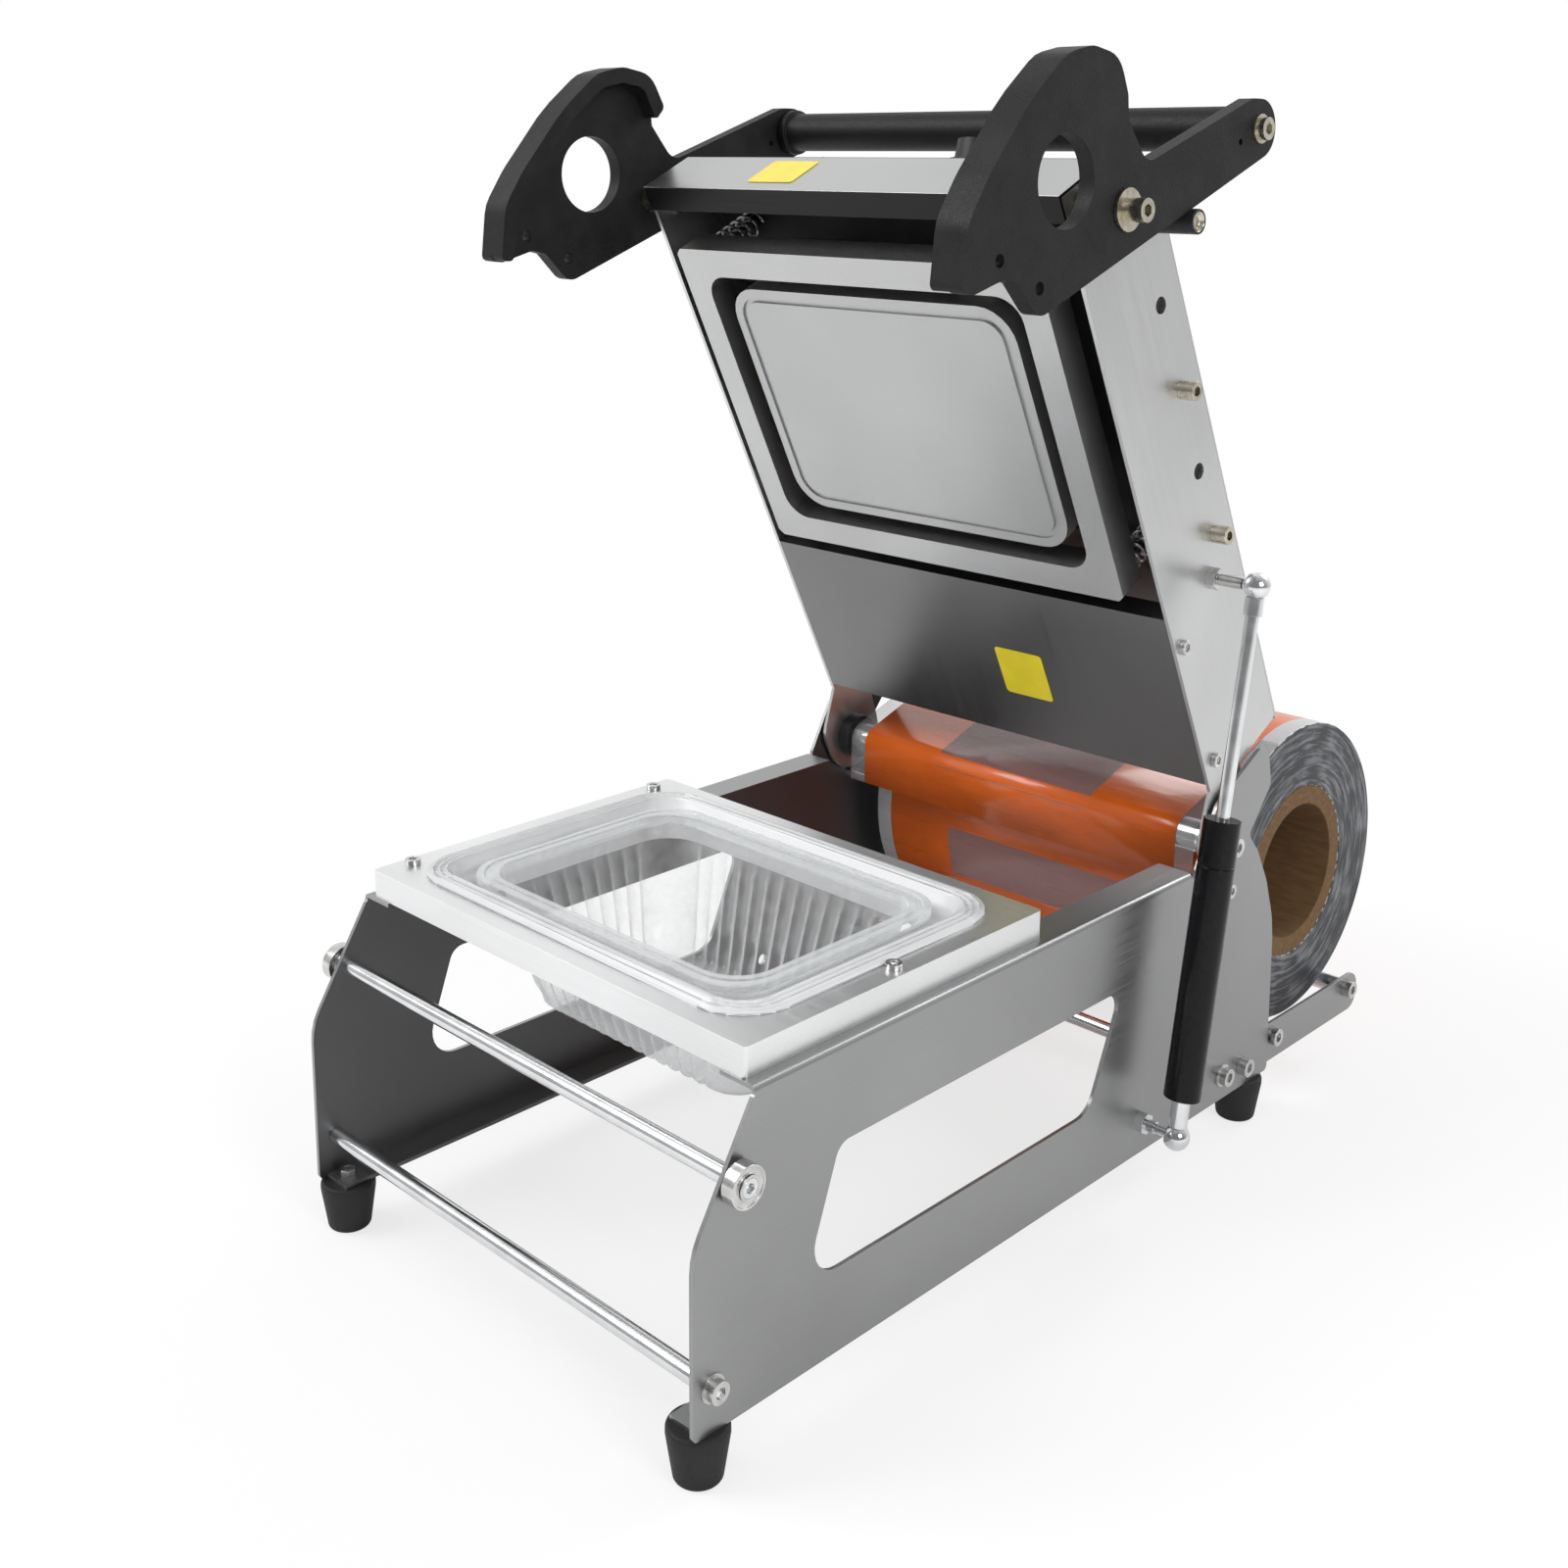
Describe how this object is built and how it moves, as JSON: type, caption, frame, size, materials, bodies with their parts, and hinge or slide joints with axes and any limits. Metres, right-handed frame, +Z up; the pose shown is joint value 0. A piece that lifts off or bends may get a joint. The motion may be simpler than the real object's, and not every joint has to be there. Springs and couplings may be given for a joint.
{
  "type": "manual tray sealer",
  "caption": "Bench-top manual tray sealer: hinged lid with heated head and clamp frame, cam lever, gas strut, tray mould and film roll.",
  "frame": {"origin": "On the surface the feet stand on, under the middle of the whole machine's box", "axes": "+Z up, +Y from the front of the machine to the back, +X to the right of someone standing in front"},
  "size_m": [0.323, 0.5565, 0.5491],
  "materials": {
    "brushed_steel": "brushed stainless sheet",
    "bright_steel": "polished stainless rod and roller",
    "fastener_steel": "plated screws, nuts and washers",
    "milled_aluminium": "milled aluminium, fine satin",
    "black_iron": "black powder coat on cut steel plate",
    "black_panel": "black painted sheet",
    "black_plastic": "moulded black nylon",
    "grip_foam": "smooth black grip",
    "black_rubber": "moulded rubber",
    "strut_black": "gloss black strut tube",
    "seat_plastic": "milky translucent plastic",
    "tray_plastic": "clear thermoformed plastic",
    "film_plastic": "orange printed sealing film",
    "wound_film": "wound sealing film",
    "card": "brown cardboard",
    "spring_steel": "dark spring wire",
    "heater": "sheathed heating element",
    "board": "insulation board",
    "red_rocker": "red rocker",
    "thermostat_body": "light moulded body"
  },
  "bodies": {
    "base": {"right_side_plate": "brushed_steel", "left_side_plate": "brushed_steel", "lower_front_rod": "bright_steel", "upper_front_rod": "bright_steel", "rear_tie_rod": "bright_steel", "film_guide_rod": "bright_steel", "base_screws": "fastener_steel", "rubber_feet": "black_rubber", "foot_screws": "fastener_steel", "mould_plate": "milled_aluminium", "seat_ring": "seat_plastic", "mould_screws": "fastener_steel", "tray": "tray_plastic", "hinge_shaft": "bright_steel", "cradle_plates": "brushed_steel", "cradle_rods": "bright_steel", "cradle_screws": "fastener_steel", "strut_base_stud": "fastener_steel", "film_web": "film_plastic"},
    "lid": {"right_lid_plate": "brushed_steel", "left_lid_plate": "brushed_steel", "hinge_bushes": "black_plastic", "lid_cover": "brushed_steel", "front_cover": "brushed_steel", "under_cover": "brushed_steel", "control_panel": "black_panel", "rocker_switch": "black_plastic", "thermostat": "thermostat_body", "cord_gland": "black_plastic", "lid_bolts": "fastener_steel", "cover_screws": "fastener_steel", "stop_pins": "black_panel", "strut_lid_stud": "fastener_steel", "carrier_plate": "black_panel", "pivot_bolts": "fastener_steel", "frame_springs": "spring_steel"},
    "clamp_frame": {"press_frame": "milled_aluminium", "frame_posts": "fastener_steel"},
    "heating_head": {"heating_plate": "milled_aluminium", "heater_element": "heater", "insulation_board": "board", "head_posts": "fastener_steel", "temperature_probe": "heater"},
    "lever": {"right_lever_arm": "black_iron", "left_lever_arm": "black_iron", "handle_bar": "bright_steel", "handle_grip": "grip_foam", "handle_bolts": "fastener_steel"},
    "strut_tube": {"strut_cylinder": "strut_black", "strut_lower_socket": "fastener_steel"},
    "strut_piston": {"strut_rod": "bright_steel", "strut_upper_socket": "fastener_steel"},
    "roller": {"film_roller": "bright_steel", "roller_bushes": "black_plastic"},
    "film_roll": {"film_core": "card", "film_winding": "wound_film"},
    "right_bearing": {"right_cam_bearing": "fastener_steel"},
    "left_bearing": {"left_cam_bearing": "fastener_steel"},
    "knob": {"temperature_knob": "black_plastic"},
    "rocker": {"rocker_button": "red_rocker"}
  },
  "joints": [
    {"name": "lid_hinge", "type": "hinge", "parent": "base", "child": "lid", "pos_m": [0, 0.09525, 0.166], "axis": [1, 0, 0], "range_deg": [0, 63.8], "stiffness_Nm_per_rad": 4, "springref_deg": -85.94},
    {"name": "frame_slide", "type": "slide", "parent": "lid", "child": "clamp_frame", "axis": [0, 0.8973, 0.4415], "range_m": [0, 0.02], "deforming": ["frame_springs"]},
    {"name": "head_slide", "type": "slide", "parent": "lid", "child": "heating_head", "axis": [0, 0.8973, 0.4415], "range_m": [0, 0.0163]},
    {"name": "lever_hinge", "type": "hinge", "parent": "lid", "child": "lever", "pos_m": [0, -0.04851, 0.48534], "axis": [1, 0, 0], "range_deg": [0, 90]},
    {"name": "strut_swing", "type": "hinge", "parent": "base", "child": "strut_tube", "pos_m": [0.154, 0.02265, 0.0421], "axis": [1, 0, 0], "range_deg": [0, 32.39]},
    {"name": "strut_rod_slide", "type": "slide", "parent": "strut_tube", "child": "strut_piston", "axis": [0, 0.1635, 0.9865], "range_m": [-0.0953, 0]},
    {"name": "roller_spin", "type": "hinge", "parent": "base", "child": "roller", "pos_m": [0, 0.09525, 0.166], "axis": [1, 0, 0], "continuous": true},
    {"name": "film_roll_spin", "type": "hinge", "parent": "base", "child": "film_roll", "pos_m": [-0.0015, 0.19425, 0.1202], "axis": [1, 0, 0], "continuous": true},
    {"name": "right_bearing_spin", "type": "hinge", "parent": "base", "child": "right_bearing", "pos_m": [0.1377, -0.25475, 0.127], "axis": [1, 0, 0], "continuous": true},
    {"name": "left_bearing_spin", "type": "hinge", "parent": "base", "child": "left_bearing", "pos_m": [-0.1377, -0.25475, 0.127], "axis": [1, 0, 0], "continuous": true},
    {"name": "knob_turn", "type": "hinge", "parent": "lid", "child": "knob", "pos_m": [0.045, -0.01493, 0.50033], "axis": [0, -0.2661, -0.9639], "range_deg": [0, 270]},
    {"name": "rocker_tilt", "type": "hinge", "parent": "lid", "child": "rocker", "pos_m": [-0.045, -0.01493, 0.50033], "axis": [0, 0.9639, -0.2661], "range_deg": [-16, 0]}
  ],
  "couplings": [
    {"joint": "frame_slide", "follows": "lid_hinge", "m_per_rad": 0.017959},
    {"joint": "head_slide", "follows": "lid_hinge", "m_per_rad": 0.014636},
    {"joint": "strut_swing", "follows": "lid_hinge", "ratio": 0.50687},
    {"joint": "strut_rod_slide", "follows": "lid_hinge", "m_per_rad": -0.085471}
  ]
}
